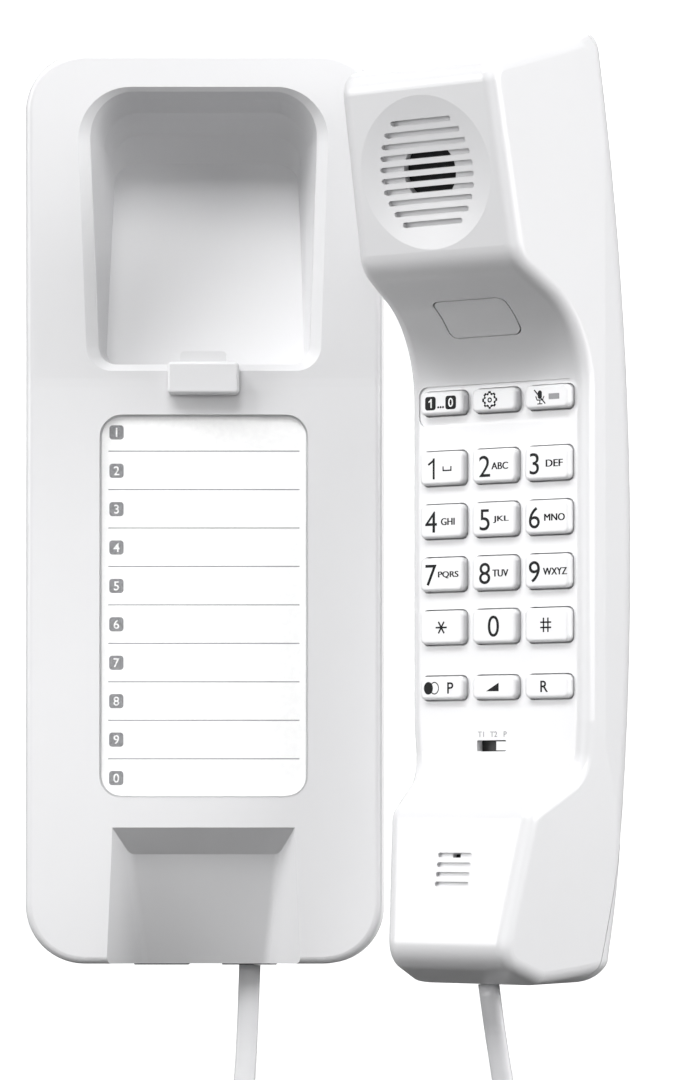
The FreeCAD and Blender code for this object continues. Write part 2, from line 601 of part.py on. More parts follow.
# ---------------------------------------------------------------- cord
def bent_path(points):
    """Straight runs joined by tangent arcs, each arc as large as its two runs allow."""
    pts = [V(*p) for p in points]
    edges = []
    here = pts[0]
    for i in range(1, len(pts) - 1):
        back = (pts[i - 1] - pts[i])
        ahead = (pts[i + 1] - pts[i])
        turn = math.pi - back.getAngle(ahead)
        shorter = min(back.Length, ahead.Length)
        r = 0.45 * shorter / math.tan(turn / 2)
        reach = 0.45 * shorter
        b = V(back).normalize()
        a = V(ahead).normalize()
        start = pts[i] + b * reach
        end = pts[i] + a * reach
        centre = pts[i] + (a + b).normalize() * math.hypot(r, reach)
        middle = centre + (pts[i] - centre).normalize() * r
        if (start - here).Length > 1e-6:
            edges.append(Part.LineSegment(here, start).toShape())
        edges.append(Part.Arc(start, middle, end).toShape())
        here = end
    edges.append(Part.LineSegment(here, pts[-1]).toShape())
    return edges


def tube(edges, radius):
    path = Part.Wire(edges)
    first = edges[0]
    start = first.valueAt(first.FirstParameter)
    along = first.tangentAt(first.FirstParameter)
    ring = Part.Wire([Part.makeCircle(radius, start, along)])
    return path.makePipeShell([ring], True, False, 2)


def make_cord():
    edges = bent_path(ROUTE)
    tail = 4
    save("base_cord_tail", tube(edges[:tail], CORD_WIDTH / 2))
    save("cord_coil", tube(edges[tail:-tail], COIL_DIAMETER / 2))
    save("handset_cord_tail", tube(edges[-tail:], CORD_WIDTH / 2))


make_base()
make_handset()
make_cord()
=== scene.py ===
"""Looks of the slimline wall telephone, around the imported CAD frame. Metres, +Z up, the wall at Y = 0."""

import json
import math

import bpy
from mathutils import Matrix, Vector


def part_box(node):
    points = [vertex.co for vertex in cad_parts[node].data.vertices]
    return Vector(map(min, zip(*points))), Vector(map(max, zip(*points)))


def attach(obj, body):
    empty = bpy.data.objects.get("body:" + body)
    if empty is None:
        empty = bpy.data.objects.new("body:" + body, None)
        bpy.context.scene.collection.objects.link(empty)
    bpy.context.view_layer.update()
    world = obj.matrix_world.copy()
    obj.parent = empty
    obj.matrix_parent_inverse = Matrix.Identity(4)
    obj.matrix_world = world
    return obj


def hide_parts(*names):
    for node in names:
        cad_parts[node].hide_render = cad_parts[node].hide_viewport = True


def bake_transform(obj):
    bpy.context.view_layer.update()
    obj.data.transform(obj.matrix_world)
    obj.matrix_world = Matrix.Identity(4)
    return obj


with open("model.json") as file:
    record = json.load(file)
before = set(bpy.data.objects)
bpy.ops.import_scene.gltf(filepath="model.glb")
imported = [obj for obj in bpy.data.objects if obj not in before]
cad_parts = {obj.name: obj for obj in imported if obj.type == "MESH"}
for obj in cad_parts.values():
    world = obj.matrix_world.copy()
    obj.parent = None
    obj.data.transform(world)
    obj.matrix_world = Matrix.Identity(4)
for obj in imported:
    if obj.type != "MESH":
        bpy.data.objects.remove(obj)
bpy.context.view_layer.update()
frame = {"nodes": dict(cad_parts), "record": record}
NODES = frame["nodes"]
MM = 0.001

# ---- camera ----
CAMERA_PLACE = (29.7, -996.0, -63.4)      # mm
CAMERA_PITCH = 1.085                      # degrees above level
CAMERA_SHIFT = 0.16
CAMERA_LENS = 146.67
SENSOR_HEIGHT = 36.0

# ---- stage ----
BACKDROP_GLOW = 1.0
ROOM_GLOW = 0.12                          # faint glow of the rest of the floor and wall
GLOW_MIDDLE = (0.03, 5.0, 0.35)
GLOW_RADIUS = (1.8, 2.3)                  # fully white inside the first, dim outside the second
FLOOR_Z = -0.36
FLOOR_FLAT = 3.6
FLOOR_BEND = 1.4
FLOOR_TOP = 3.4
FLOOR_BEND_STEPS = 12
FLOOR_SEGMENTS = 96
LIGHT_TARGET = (0.03, -0.03, 0.0)
LIGHT_SPREAD = 50.0                       # degrees

# ---- handset frame: local x across the keypad, y into the handset, z up ----
HANDSET_PLACE = Vector((63.35, -65.66, 0.0))
HANDSET_TURN = math.radians(-35.0)
KEY_TOP_Y = -1.6
COLUMN_PITCH = 13.25
DIGIT_ROWS = (6.5, -4.85, -16.2, -27.5)
TOP_ROW = 20.4
LOW_ROW = -40.4

# ---- printed marks ----
INK_THICK = 0.03
INK_SINK = 0.01
DIGIT_HEIGHT = 4.5
LETTER_HEIGHT = 1.5
MEMORY_HEIGHT = 1.9
FUNCTION_HEIGHT = 2.4
SWITCH_LABEL_HEIGHT = 1.15
SWITCH_LABEL_Z = -50.3
THIN_STROKE = 0.2
SPACE_STROKE = 0.3
STAR_STROKE = 0.36
HASH_STROKE = 0.33
CORNER_STEPS = 6
FUNCTION_WEIGHT = 0.012
DIGIT_WEIGHT = 0.0                        # widening of the strokes, in letter heights
LETTER_WEIGHT = 0.0
STROKE_SPREAD = (-0.07, 0.07)             # letters are laid down twice, shifted so, for thicker strokes

# ---- cord ----
CORD_WIDTH = 4.8
CORD_THICK = 2.6
COIL_RADIUS = 4.45                        # axis of the coil to the middle of the cord
COIL_PITCH = 5.05
BASE_TAIL = 41.0                          # straight cord before the first turn
HANDSET_TAIL = 41.4
LEAD_IN = 8.0                             # run in which the cord leaves the axis
LEAD_TURN = 0.75                          # turns made in that run
STEPS_PER_TURN = 16
ROUTE = [
    (9.8, -7.95, -101.2), (9.3, -8.3, -118.0), (8.0, -9.8, -136.0), (5.0, -13.0, -162.0),
    (1.8, -17.5, -192.0), (0.6, -21.0, -220.0), (2.3, -23.5, -248.4), (16.2, -31.0, -270.2),
    (38.7, -43.8, -278.5), (61.2, -56.6, -270.2), (75.1, -64.5, -248.4), (76.9, -66.2, -221.0),
    (76.0, -67.4, -192.0), (72.6, -68.3, -164.0), (67.6, -68.7, -140.0), (63.5, -68.65, -120.0),
    (61.3, -68.6, -102.8),
]


# ---------------------------------------------------------------- camera, floor and light
def make_camera():
    data = bpy.data.cameras.new("camera")
    data.sensor_fit = "VERTICAL"
    data.sensor_height = SENSOR_HEIGHT
    data.lens = CAMERA_LENS
    data.shift_y = CAMERA_SHIFT
    data.clip_start = 0.01
    camera = bpy.data.objects.new("camera", data)
    camera.location = Vector(CAMERA_PLACE) * MM
    camera.rotation_euler = (math.radians(90 + CAMERA_PITCH), 0, 0)
    bpy.context.scene.collection.objects.link(camera)
    bpy.context.scene.camera = camera


def make_floor():
    """Pale round floor curving up into a plain wall all round, wide enough to hold every camera."""
    profile = [(FLOOR_FLAT, FLOOR_Z)]
    for i in range(1, FLOOR_BEND_STEPS + 1):
        a = math.radians(90 * i / FLOOR_BEND_STEPS)
        out = FLOOR_BEND * math.sin(a)
        up = FLOOR_BEND * (1 - math.cos(a))
        profile.append((FLOOR_FLAT + out, FLOOR_Z + up))
    profile.append((FLOOR_FLAT + FLOOR_BEND, FLOOR_TOP))
    count = FLOOR_SEGMENTS
    around = [2 * math.pi * j / count for j in range(count)]
    verts = [(r * math.cos(a), r * math.sin(a), z) for r, z in profile for a in around]
    faces = [tuple(range(count))]
    for i in range(len(profile) - 1):
        for j in range(count):
            k = (j + 1) % count
            faces.append((i * count + j, i * count + k, (i + 1) * count + k, (i + 1) * count + j))
    mesh = bpy.data.meshes.new("floor")
    mesh.from_pydata(verts, [], faces)
    for face in mesh.polygons:
        face.use_smooth = True
    floor = bpy.data.objects.new("floor", mesh)
    bpy.context.scene.collection.objects.link(floor)
    floor.data.materials.append(plain_floor())


def area_light(name, place, size, power):
    """Soft box aimed at the telephone, narrow enough to leave the floor dim."""
    data = bpy.data.lights.new(name, "AREA")
    data.shape = "RECTANGLE"
    data.size = size[0]
    data.size_y = size[1]
    data.energy = power
    data.spread = math.radians(LIGHT_SPREAD)
    light = bpy.data.objects.new(name, data)
    light.location = place
    light.rotation_euler = (Vector(LIGHT_TARGET) - Vector(place)).to_track_quat("-Z", "Y").to_euler()
    bpy.context.scene.collection.objects.link(light)


def make_light():
    area_light("top_left", (-0.9, -0.7, 1.3), (0.7, 0.7), 1.6)
    area_light("left", (-1.6, -0.7, 0.3), (0.7, 1.0), 1.4)
    area_light("front_top", (-0.1, -1.3, 1.35), (0.9, 0.7), 1.7)
    area_light("right_edge", (1.5, -0.25, 0.35), (0.6, 1.0), 0.7)
    area_light("right", (1.4, -0.9, 0.5), (0.8, 1.0), 2.5)
    area_light("front", (-0.05, -1.3, 0.0), (1.0, 0.6), 0.3)
    area_light("back", (0.1, 1.2, 1.2), (1.0, 0.8), 1.5)
    world = bpy.data.worlds.new("studio")
    world.use_nodes = True
    world.node_tree.nodes["Background"].inputs["Color"].default_value = (0.97, 0.98, 1.0, 1)
    world.node_tree.nodes["Background"].inputs["Strength"].default_value = 0.03
    bpy.context.scene.world = world
    settings = bpy.context.scene.view_settings
    settings.view_transform = "Standard"
    settings.look = "None"
    settings.exposure = 0.0


# ---------------------------------------------------------------- materials
class Nodes:
    """A material's node tree with short ways to add what the surfaces need."""

    def __init__(self, name):
        self.material = bpy.data.materials.new(name)
        self.material.use_nodes = True
        self.tree = self.material.node_tree
        self.shader = self.tree.nodes["Principled BSDF"]
        self.place = self.tree.nodes.new("ShaderNodeTexCoord").outputs["Object"]

    def link(self, a, b):
        self.tree.links.new(a, b)

    def noise(self, scale, detail=3.0, rough=0.55, stretch=None):
        node = self.tree.nodes.new("ShaderNodeTexNoise")
        node.inputs["Scale"].default_value = scale
        node.inputs["Detail"].default_value = detail
        node.inputs["Roughness"].default_value = rough
        source = self.place
        if stretch:
            mapping = self.tree.nodes.new("ShaderNodeMapping")
            mapping.inputs["Scale"].default_value = stretch
            self.link(source, mapping.inputs["Vector"])
            source = mapping.outputs["Vector"]
        self.link(source, node.inputs["Vector"])
        return node.outputs["Fac"]

    def wave(self, scale, direction, distortion=0.0):
        node = self.tree.nodes.new("ShaderNodeTexWave")
        node.bands_direction = direction
        node.inputs["Scale"].default_value = scale
        node.inputs["Distortion"].default_value = distortion
        self.link(self.place, node.inputs["Vector"])
        return node.outputs["Fac"]

    def blend_colour(self, factor, low, high, at=(0.35, 0.65)):
        ramp = self.tree.nodes.new("ShaderNodeValToRGB")
        ramp.color_ramp.elements[0].position = at[0]
        ramp.color_ramp.elements[1].position = at[1]
        ramp.color_ramp.elements[0].color = (*low, 1)
        ramp.color_ramp.elements[1].color = (*high, 1)
        self.link(factor, ramp.inputs["Fac"])
        self.link(ramp.outputs["Color"], self.shader.inputs["Base Color"])

    def vary_roughness(self, factor, low, high):
        span = self.tree.nodes.new("ShaderNodeMapRange")
        span.inputs["To Min"].default_value = low
        span.inputs["To Max"].default_value = high
        self.link(factor, span.inputs["Value"])
        self.link(span.outputs["Result"], self.shader.inputs["Roughness"])

    def bump(self, height, depth, strength=1.0):
        node = self.tree.nodes.new("ShaderNodeBump")
        node.inputs["Strength"].default_value = strength
        node.inputs["Distance"].default_value = depth
        self.link(height, node.inputs["Height"])
        self.link(node.outputs["Normal"], self.shader.inputs["Normal"])

    def set(self, **values):
        for name, value in values.items():
            self.shader.inputs[name.replace("_", " ").title().replace("Ior", "IOR")].default_value = value


def shade(colour, factor):
    return tuple(min(1.0, c * factor) for c in colour)


def moulded_plastic(name, colour, rough=(0.26, 0.34), coat=0.15, grain=1800.0, depth=0.00002):
    """Injection moulded plastic: a faint cloudiness, an uneven sheen and a fine spark-eroded grain."""
    m = Nodes(name)
    m.blend_colour(m.noise(28.0), shade(colour, 0.985), colour)
    m.vary_roughness(m.noise(90.0, 4.0), *rough)
    m.bump(m.noise(grain, 2.0), depth, 0.35)
    m.set(specular_ior_level=0.5, coat_weight=coat)
    m.shader.inputs["Coat Roughness"].default_value = 0.12
    return m.material


def clear_plastic():
    m = Nodes("window_clear")
    m.blend_colour(m.noise(30.0), (0.93, 0.94, 0.95), (0.97, 0.975, 0.98))
    m.vary_roughness(m.noise(120.0), 0.08, 0.14)
    m.bump(m.noise(700.0), 0.0000005, 0.1)
    m.set(specular_ior_level=0.3)
    m.shader.inputs["Alpha"].default_value = 0.04
    return m.material


def paper():
    m = Nodes("card_paper")
    m.blend_colour(m.noise(900.0, 6.0), (0.93, 0.93, 0.93), (0.97, 0.97, 0.965))
    m.vary_roughness(m.noise(400.0), 0.75, 0.9)
    m.bump(m.noise(2600.0, 5.0), 0.000004, 0.3)
    return m.material


def circuit_board():
    m = Nodes("board_green")
    m.blend_colour(m.wave(110.0, "X", 4.0), (0.03, 0.16, 0.07), (0.06, 0.27, 0.12), (0.45, 0.55))
    m.vary_roughness(m.noise(300.0), 0.3, 0.45)
    m.bump(m.wave(110.0, "X", 4.0), 0.00003, 0.4)
    return m.material


def metal(name, low, high, rough, stretch):
    m = Nodes(name)
    scratches = m.noise(500.0, 4.0, stretch=stretch)
    m.blend_colour(scratches, low, high)
    m.vary_roughness(m.noise(160.0), *rough)
    m.bump(scratches, 0.00002, 0.3)
    m.shader.inputs["Metallic"].default_value = 1.0
    return m.material


def rubber(name, colour):
    m = Nodes(name)
    m.blend_colour(m.noise(60.0), shade(colour, 0.85), shade(colour, 1.1))
    m.vary_roughness(m.noise(200.0), 0.62, 0.8)
    m.bump(m.noise(1500.0, 3.0), 0.00004, 0.5)
    return m.material


def speaker_cloth():
    m = Nodes("cloth_black")
    weave = m.wave(2200.0, "X")
    m.blend_colour(weave, (0.008, 0.008, 0.009), (0.03, 0.03, 0.032))
    m.vary_roughness(m.noise(900.0), 0.85, 0.95)
    m.bump(weave, 0.00006, 0.8)
    return m.material


def cord_plastic():
    m = Nodes("cord_white")
    m.blend_colour(m.noise(45.0), (0.60, 0.60, 0.615), (0.66, 0.66, 0.67))
    m.vary_roughness(m.noise(240.0), 0.30, 0.42)
    m.bump(m.noise(1500.0, 2.0), 0.00002, 0.3)
    m.set(specular_ior_level=0.5)
    return m.material


def ink(name, colour):
    """Pad printed ink, slightly uneven in tone."""
    m = Nodes(name)
    m.blend_colour(m.noise(1400.0, 4.0), shade(colour, 0.8), shade(colour, 1.15))
    m.vary_roughness(m.noise(700.0), 0.4, 0.55)
    m.bump(m.noise(3000.0), 0.00001, 0.3)
    m.set(specular_ior_level=0.12)
    return m.material


def plain_floor():
    """Pale matt floor with a patch of the backdrop, behind the telephone, that glows evenly white."""
    m = Nodes("floor_plain")
    m.blend_colour(m.noise(2.0), (0.78, 0.78, 0.785), (0.80, 0.80, 0.805))
    m.vary_roughness(m.noise(20.0), 0.8, 0.9)
    away = m.tree.nodes.new("ShaderNodeVectorMath")
    away.operation = "DISTANCE"
    away.inputs[1].default_value = GLOW_MIDDLE
    glow = m.tree.nodes.new("ShaderNodeMapRange")
    glow.inputs["From Min"].default_value = GLOW_RADIUS[1]
    glow.inputs["From Max"].default_value = GLOW_RADIUS[0]
    glow.inputs["To Min"].default_value = ROOM_GLOW
    glow.inputs["To Max"].default_value = BACKDROP_GLOW
    m.link(m.place, away.inputs[0])
    m.link(away.outputs["Value"], glow.inputs["Value"])
    m.link(glow.outputs["Result"], m.shader.inputs["Emission Strength"])
    m.shader.inputs["Emission Color"].default_value = (1, 1, 1, 1)
    return m.material


def node_materials():
    white = (0.66, 0.66, 0.67)
    return {
        "shell_white": moulded_plastic("shell_white", white),
        "key_white": moulded_plastic("key_white", (0.72, 0.72, 0.73), (0.3, 0.38), 0.1, 2400.0, 0.000015),
        "card_paper": paper(),
        "window_clear": clear_plastic(),
        "board_green": circuit_board(),
        "steel": metal("steel", (0.50, 0.50, 0.51), (0.66, 0.66, 0.67), (0.28, 0.42), (1.0, 1.0, 0.1)),
        "brass_disc": metal("brass_disc", (0.62, 0.47, 0.20), (0.80, 0.63, 0.30), (0.25, 0.4),
                            (1.0, 1.0, 1.0)),
        "jack_dark": moulded_plastic("jack_dark", (0.035, 0.035, 0.038), (0.35, 0.5), 0.0),
        "plug_clear": moulded_plastic("plug_clear", (0.74, 0.76, 0.78), (0.12, 0.2), 0.4),
        "foot_rubber": rubber("foot_rubber", (0.05, 0.05, 0.052)),
        "mat_rubber": rubber("mat_rubber", (0.45, 0.45, 0.46)),
        "capsule_black": moulded_plastic("capsule_black", (0.02, 0.02, 0.021), (0.45, 0.6), 0.0),
        "cloth_black": speaker_cloth(),
        "slider_grey": moulded_plastic("slider_grey", (0.80, 0.80, 0.81), (0.3, 0.4), 0.05),
        "led_grey": moulded_plastic("led_grey", (0.17, 0.17, 0.18), (0.3, 0.4), 0.1),
        "cord_white": cord_plastic(),
    }


def dress_nodes(materials):
    for part in frame["record"]["subparts"]:
        mesh = NODES[part["node"]].data
        mesh.materials.clear()
        mesh.materials.append(materials[part["material_slot"]])


# ---------------------------------------------------------------- printed marks
def handset_point(x, y, z):
    turned = Matrix.Rotation(HANDSET_TURN, 4, "Z") @ Vector((x, y, z))
    return (turned + HANDSET_PLACE) * MM


def base_point(x, y, z):
    return Vector((x, y, z)) * MM


def outline_text(text, height, weight=0.0):
    """Outline mesh of a text, as (points in mm, faces), with cap height as given, centred at the origin."""
    data = bpy.data.curves.new("text", "FONT")
    data.body = text
    data.size = 1.0
    data.offset = weight
    data.resolution_u = 6
    data.extrude = 0.0
    holder = bpy.data.objects.new("text", data)
    bpy.context.scene.collection.objects.link(holder)
    bpy.context.view_layer.update()
    mesh = bpy.data.meshes.new_from_object(holder)
    points = [v.co.copy() for v in mesh.vertices]
    faces = [tuple(p.vertices) for p in mesh.polygons]
    bpy.data.objects.remove(holder)
    bpy.data.curves.remove(data)
    bpy.data.meshes.remove(mesh)
    low = Vector((min(p.x for p in points), min(p.y for p in points)))
    high = Vector((max(p.x for p in points), max(p.y for p in points)))
    scale = height / (high.y - low.y)
    middle = (low + high) / 2
    return [((p.x - middle.x) * scale, (p.y - middle.y) * scale) for p in points], faces


def polygon(points):
    return points, [tuple(range(len(points)))]


def disc(r, x=0.0, z=0.0, stretch=1.0, count=32):
    around = [2 * math.pi * i / count for i in range(count)]
    return polygon([(x + r * stretch * math.cos(a), z + r * math.sin(a)) for a in around])


def ring(r_out, r_in, x=0.0, z=0.0, stretch=1.0, count=32, wobble=0.0, teeth=0):
    points = []
    for r in (r_out, r_in):
        for i in range(count):
            a = 2 * math.pi * i / count
            rr = r + (wobble if teeth and math.cos(teeth * a) > 0 else 0.0)
            points.append((x + rr * stretch * math.cos(a), z + rr * math.sin(a)))
    faces = [(i, (i + 1) % count, count + (i + 1) % count, count + i) for i in range(count)]
    return points, faces


def bar(x0, z0, x1, z1, width):
    """Straight stroke with square ends from one point to another."""
    along = Vector((x1 - x0, z1 - z0)).normalized() * width / 2
    side = Vector((-along.y, along.x))
    a = Vector((x0, z0)) - along
    b = Vector((x1, z1)) + along
    return polygon([tuple(a - side), tuple(b - side), tuple(b + side), tuple(a + side)])


def rounded_bar(width, height, r, x=0.0, z=0.0):
    points = []
    for cx, cz, start in ((1, 1, 0), (-1, 1, 90), (-1, -1, 180), (1, -1, 270)):
        middle_x = x + cx * (width / 2 - r)
        middle_z = z + cz * (height / 2 - r)
        for i in range(CORNER_STEPS + 1):
            a = math.radians(start + 90 / CORNER_STEPS * i)
            points.append((middle_x + r * math.cos(a), middle_z + r * math.sin(a)))
    return polygon(points)


def moved(shape, x, z, scale=1.0):
    points, faces = shape
    return [(p[0] * scale + x, p[1] * scale + z) for p in points], faces


def mark(name, shapes, place, y_face, body, material):
    """Thin raised ink of flat (x, z) shapes on a face that looks along -y of the given frame."""
    verts = []
    faces = []
    for points, polys in shapes:
        first = len(verts)
        count = len(points)
        verts += [place(x, y_face - INK_THICK, z) for x, z in points]
        verts += [place(x, y_face + INK_SINK, z) for x, z in points]
        uses = {}
        for poly in polys:
            for a, b in zip(poly, poly[1:] + poly[:1]):
                uses[(a, b)] = uses.get((a, b), 0) + 1
            faces.append(tuple(first + i for i in poly))
            faces.append(tuple(first + count + i for i in reversed(poly)))
        for a, b in uses:
            if (b, a) not in uses:
                faces.append((first + b, first + a, first + count + a, first + count + b))
    mesh = bpy.data.meshes.new(name)
    mesh.from_pydata(verts, [], faces)
    mesh.validate()
    mesh.materials.append(material)
    piece = bpy.data.objects.new(name, mesh)
    bpy.context.scene.collection.objects.link(piece)
    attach(piece, body)


def gear_shape():
    outer = ring(1.36, 0.96, count=96, wobble=0.28, teeth=8)
    return [outer, ring(0.48, 0.24)]


def microphone_shape():
    """Microphone with a stroke through it."""
    capsule = rounded_bar(0.95, 1.7, 0.47, 0.0, 0.45)
    cradle = [bar(-0.95, 0.05, -0.62, -0.62, THIN_STROKE), bar(0.95, 0.05, 0.62, -0.62, THIN_STROKE),
              bar(-0.62, -0.62, 0.62, -0.62, THIN_STROKE)]
    stand = [bar(0, -0.7, 0, -1.35, THIN_STROKE), bar(-0.5, -1.4, 0.5, -1.4, THIN_STROKE)]
    stroke = bar(-1.25, 1.35, 1.2, -1.3, 0.26)
    return [capsule] + cradle + stand + [stroke]


def one_shape(height, x, z, width):
    """The digit 1 with its slanting flag."""
    top = z + height / 2 - width / 2
    return [bar(x, z - height / 2 + width / 2, x, top, width),
            bar(x - 0.27 * height, top - 0.22 * height, x - 0.1 * width, top - 0.05 * height, 0.9 * width)]


def space_shape(left, right, low, high):
    """Open box, the mark of a space."""
    return [bar(left, high, left, low, SPACE_STROKE), bar(left, low, right, low, SPACE_STROKE),
            bar(right, low, right, high, SPACE_STROKE)]


def star_shape(x, z):
    arm = 1.25
    shapes = []
    for a in (0, math.pi / 3, 2 * math.pi / 3):
        out = arm * math.cos(a)
        up = arm * math.sin(a)
        shapes.append(bar(x - out, z - up, x + out, z + up, STAR_STROKE))
    return shapes


def hash_shape(x, z):
    half_gap = 0.55
    across = [bar(x - 1.2, z + up, x + 1.2, z + up, HASH_STROKE) for up in (half_gap, -half_gap)]
    down = [bar(x + out, z - 1.35, x + out, z + 1.35, HASH_STROKE) for out in (-half_gap, half_gap)]
    return across + down


def fitted_text(text, height, width, x, z):
    """Text of the given cap height, squeezed or stretched to the given width."""
    points, faces = outline_text(text, height, LETTER_WEIGHT)
    factor = width / (2 * max(p[0] for p in points))
    return [(x + p[0] * factor, z + p[1]) for p in points], faces


def key_marks(black, white):
    digit_x = {-1: -2.6, 0: -2.2, 1: -3.0}
    letters = {"key_2": ("ABC", 4.1, 1.6), "key_3": ("DEF", 4.1, 1.95), "key_4": ("GHI", 3.4, 1.7),
               "key_5": ("JKL", 3.8, 1.9), "key_6": ("MNO", 5.0, 2.0), "key_7": ("PQRS", 5.1, 1.8),
               "key_8": ("TUV", 3.9, 1.75), "key_9": ("WXYZ", 5.8, 2.1)}
    for number in range(1, 10):
        name = "key_" + str(number)
        column = (number - 1) % 3 - 1
        x = column * COLUMN_PITCH
        z = DIGIT_ROWS[(number - 1) // 3] - 0.1
        if name in letters:
            text, width, offset = letters[name]
            digit = outline_text(str(number), DIGIT_HEIGHT, DIGIT_WEIGHT)
            shapes = [moved(digit, x + digit_x[column], z)]
            for spread in STROKE_SPREAD:
                shapes.append(fitted_text(text, LETTER_HEIGHT, width, x + offset + spread, z))
        else:
            shapes = one_shape(DIGIT_HEIGHT, x - 1.9, z, 0.5)
            shapes += space_shape(x + 0.5, x + 2.5, z - 0.45, z + 0.3)
        put_on_key(name + "_print", shapes, name, black)
    z = DIGIT_ROWS[3]
    put_on_key("key_star_print", star_shape(-COLUMN_PITCH, z), "key_star", black)
    zero = outline_text("0", DIGIT_HEIGHT, DIGIT_WEIGHT)
    put_on_key("key_0_print", [moved(zero, 0, z)], "key_0", black)
    put_on_key("key_hash_print", hash_shape(COLUMN_PITCH - 0.2, z), "key_hash", black)
    function_marks(black, white)


def function_marks(black, white):
    square = rounded_bar(2.7, 2.9, 0.6)
    x = -COLUMN_PITCH
    squares = [moved(square, x - 2.75, TOP_ROW), moved(square, x + 2.45, TOP_ROW)]
    dots = [disc(0.24, x - 0.75 + 0.62 * i, TOP_ROW - 0.9) for i in range(3)]
    put_on_key("key_memory_print", squares + dots, "key_memory", black)
    zero = outline_text("0", MEMORY_HEIGHT, 0.01)
    memory = one_shape(MEMORY_HEIGHT, x - 2.55, TOP_ROW, 0.34) + [moved(zero, x + 2.45, TOP_ROW)]
    put_on_key("key_memory_digits", memory, "key_memory", white, INK_THICK)
    gear = [moved(shape, -0.9, TOP_ROW, 1.15) for shape in gear_shape()]
    put_on_key("key_settings_print", gear, "key_settings", black)
    microphone = [moved(shape, COLUMN_PITCH - 1.6, TOP_ROW, 1.05) for shape in microphone_shape()]
    put_on_key("key_mute_print", microphone, "key_mute", black)
    pause = outline_text("P", FUNCTION_HEIGHT, FUNCTION_WEIGHT)
    redial = [disc(1.35, x - 3.3, LOW_ROW, 0.85), ring(1.35, 1.12, x - 1.75, LOW_ROW, 0.85),
              moved(pause, x + 2.3, LOW_ROW)]
    put_on_key("key_redial_print", redial, "key_redial", black)
    wedge = polygon([(-1.9, LOW_ROW - 0.85), (1.3, LOW_ROW - 0.85), (1.3, LOW_ROW + 0.95)])
    put_on_key("key_volume_print", [wedge], "key_volume", black)
    flash = outline_text("R", FUNCTION_HEIGHT, FUNCTION_WEIGHT)
    put_on_key("key_flash_print", [moved(flash, COLUMN_PITCH - 0.6, LOW_ROW)], "key_flash", black)


def put_on_key(name, shapes, key, material, lift=0.0):
    mark(name, shapes, handset_point, KEY_TOP_Y - lift, key + "_body", material)


def switch_marks(grey):
    labels = (("T1", -4.2), ("T2", -1.0), ("P", 1.9))
    shapes = [moved(outline_text(text, SWITCH_LABEL_HEIGHT), x, SWITCH_LABEL_Z) for text, x in labels]
    mark("dial_mode_print", shapes, handset_point, 0.0, "handset", grey)


def card_marks(grey, white, paper_white):
    """White ground, nine ruled lines and ten index numbers on the directory card."""
    card_low, card_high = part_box("directory_card")
    y_card = card_low[1] / MM
    card_size = (card_high - card_low) / MM
    middle = (card_low + card_high) / 2 / MM
    ground = rounded_bar(card_size.x - 0.3, card_size.z - 0.3, 4.0, middle.x, middle.z)
    mark("card_ground", [ground], base_point, y_card + 0.5 * INK_THICK, "base", paper_white)
    lines = [rounded_bar(42.2, 0.22, 0.1, 0.0, 12.75 - 8.49 * i) for i in range(9)]
    mark("card_rules", lines, base_point, y_card, "base", grey)
    squares = []
    numbers = []
    for i in range(10):
        z = 16.9 - 8.48 * i
        squares.append(rounded_bar(3.15, 3.15, 0.7, -19.3, z))
        numbers.append(moved(outline_text(str((i + 1) % 10), 2.0, 0.012), -19.3, z))
    mark("card_index", squares, base_point, y_card, "base", grey)
    mark("card_numbers", numbers, base_point, y_card - INK_THICK, "base", white)


# ---------------------------------------------------------------- cord
def route_points():
    """Points along the smooth route, read from its own NURBS spline."""
    data = bpy.data.curves.new("route", "CURVE")
    data.dimensions = "3D"
    spline = data.splines.new("NURBS")
    spline.points.add(len(ROUTE) - 1)
    for point, place in zip(spline.points, ROUTE):
        point.co = (*(Vector(place) * MM), 1.0)
    spline.order_u = 3
    spline.use_endpoint_u = True
    spline.resolution_u = 40
    holder = bpy.data.objects.new("route", data)
    bpy.context.scene.collection.objects.link(holder)
    bpy.context.view_layer.update()
    mesh = bpy.data.meshes.new_from_object(holder)
    points = [v.co.copy() for v in mesh.vertices]
    bpy.data.objects.remove(holder)
    bpy.data.curves.remove(data)
    bpy.data.meshes.remove(mesh)
    return points


class Route:
    """The route by its run in metres, with a frame that doesn't twist."""

    def __init__(self, points):
        self.points = points
        self.runs = [0.0]
        for a, b in zip(points, points[1:]):
            self.runs.append(self.runs[-1] + (b - a).length)
        self.length = self.runs[-1]
        self.along = []
        for i in range(len(points)):
            self.along.append((points[min(i + 1, len(points) - 1)] - points[max(i - 1, 0)]).normalized())
        front = Vector((0, -1, 0))
        self.front = []
        for way in self.along:
            front = (front - way * front.dot(way)).normalized()
            self.front.append(front)

    def at(self, run):
        run = min(max(run, 0.0), self.length)
        i = 0
        low = 0
        high = len(self.runs) - 1
        while high - low > 1:
            i = (low + high) // 2
            if self.runs[i] <= run:
                low = i
            else:
                high = i
        part = (run - self.runs[low]) / max(self.runs[high] - self.runs[low], 1e-9)
        place = self.points[low].lerp(self.points[high], part)
        way = self.along[low].lerp(self.along[high], part).normalized()
        front = self.front[low].lerp(self.front[high], part)
        front = (front - way * front.dot(way)).normalized()
        return place, way, front


def smooth(u):
    u = min(max(u, 0.0), 1.0)
    return u * u * (3 - 2 * u)


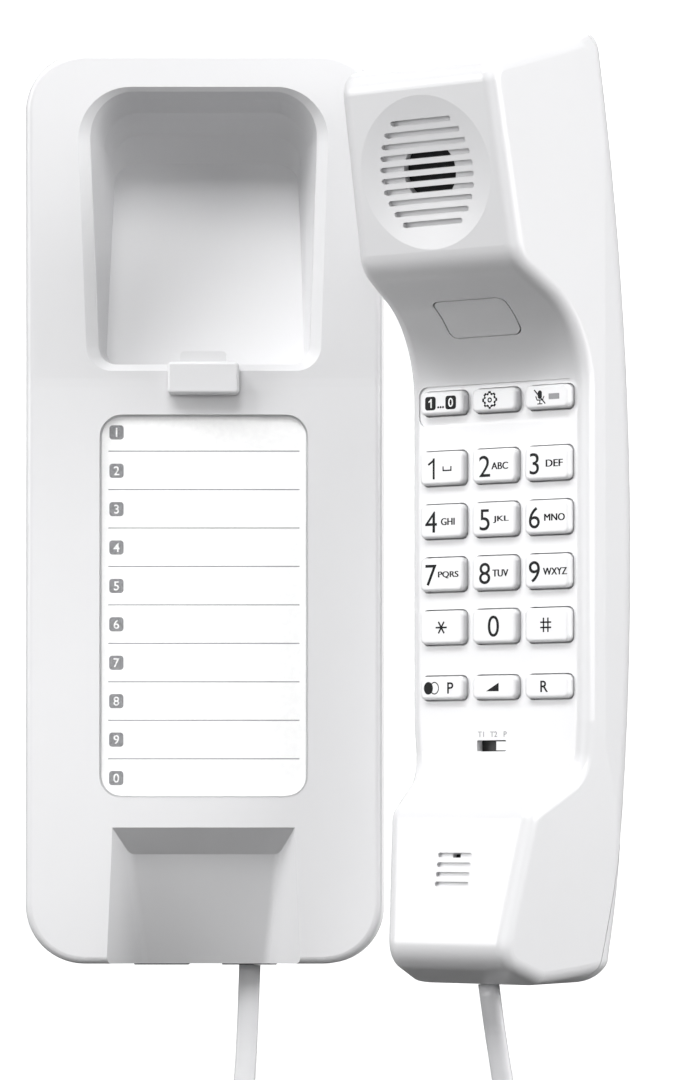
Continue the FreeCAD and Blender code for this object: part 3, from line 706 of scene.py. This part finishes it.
def cord_line(route):
    """Centre line of the whole cord and, at each point, the direction of its thin side."""
    begin = BASE_TAIL * MM
    end = route.length - HANDSET_TAIL * MM
    lead = LEAD_IN * MM
    turn_rate = 2 * math.pi / (COIL_PITCH * MM)
    lead_phase = 2 * math.pi * LEAD_TURN
    body = end - begin - 2 * lead
    last_front = route.at(route.length)[2]
    last_way = route.at(route.length)[1]
    wanted = Matrix.Rotation(HANDSET_TURN, 3, "Z") @ Vector((0, -1, 0))
    offset = math.atan2(last_way.dot(last_front.cross(wanted)), last_front.dot(wanted))
    total = turn_rate * body + 2 * lead_phase
    total = 2 * math.pi * round((total - offset) / (2 * math.pi)) + offset
    rate = (total - 2 * lead_phase) / body

    def phase(run):
        if run <= begin:
            return 0.0
        if run < begin + lead:
            return lead_phase * ((run - begin) / lead) ** 2
        if run <= end - lead:
            return lead_phase + rate * (run - begin - lead)
        if run < end:
            return total - lead_phase * ((end - run) / lead) ** 2
        return total

    runs = []
    run = 0.0
    while run < route.length:
        runs.append(run)
        inside = begin - 0.001 < run < end + 0.001
        run += COIL_PITCH * MM / STEPS_PER_TURN if inside else 1.5 * MM
    runs[-1] = route.length
    line = []
    thin = []
    for run in runs:
        place, way, front = route.at(run)
        radius = COIL_RADIUS * MM * smooth((run - begin) / lead) * smooth((end - run) / lead)
        side = Matrix.Rotation(phase(run), 3, way) @ front
        line.append(place + side * radius)
        thin.append(side)
    return line, thin


def cord_section():
    """Rounded flat section as (across, through) pairs, in metres."""
    points = []
    for i in range(16):
        a = 2 * math.pi * i / 16
        c = math.cos(a)
        s = math.sin(a)
        across = math.copysign(abs(c) ** 0.75, c) * CORD_WIDTH / 2
        through = math.copysign(abs(s) ** 0.75, s) * CORD_THICK / 2
        points.append((across * MM, through * MM))
    return points


def make_cord(material):
    line, thin = cord_line(Route(route_points()))
    section = cord_section()
    verts = []
    for i, place in enumerate(line):
        way = (line[min(i + 1, len(line) - 1)] - line[max(i - 1, 0)]).normalized()
        through = (thin[i] - way * thin[i].dot(way)).normalized()
        across = way.cross(through)
        verts += [place + across * a + through * t for a, t in section]
    count = len(section)
    faces = []
    for i in range(len(line) - 1):
        for k in range(count):
            n = (k + 1) % count
            faces.append((i * count + k, i * count + n, (i + 1) * count + n, (i + 1) * count + k))
    faces.append(tuple(reversed(range(count))))
    faces.append(tuple((len(line) - 1) * count + k for k in range(count)))
    mesh = bpy.data.meshes.new("handset_cord")
    mesh.from_pydata(verts, [], faces)
    for face in mesh.polygons:
        face.use_smooth = len(face.vertices) == 4
    mesh.materials.append(material)
    cord = bpy.data.objects.new("handset_cord", mesh)
    bpy.context.scene.collection.objects.link(cord)
    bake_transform(cord)
    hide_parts("base_cord_tail", "cord_coil", "handset_cord_tail")


# ---------------------------------------------------------------- whole model
materials = node_materials()
black_ink = ink("ink_black", (0.012, 0.012, 0.013))
grey_ink = ink("ink_grey", (0.23, 0.23, 0.24))
white_ink = ink("ink_white", (0.82, 0.82, 0.82))
dress_nodes(materials)
make_cord(materials["cord_white"])
key_marks(black_ink, white_ink)
switch_marks(grey_ink)
card_marks(grey_ink, white_ink, materials["card_paper"])
make_floor()
make_light()
make_camera()
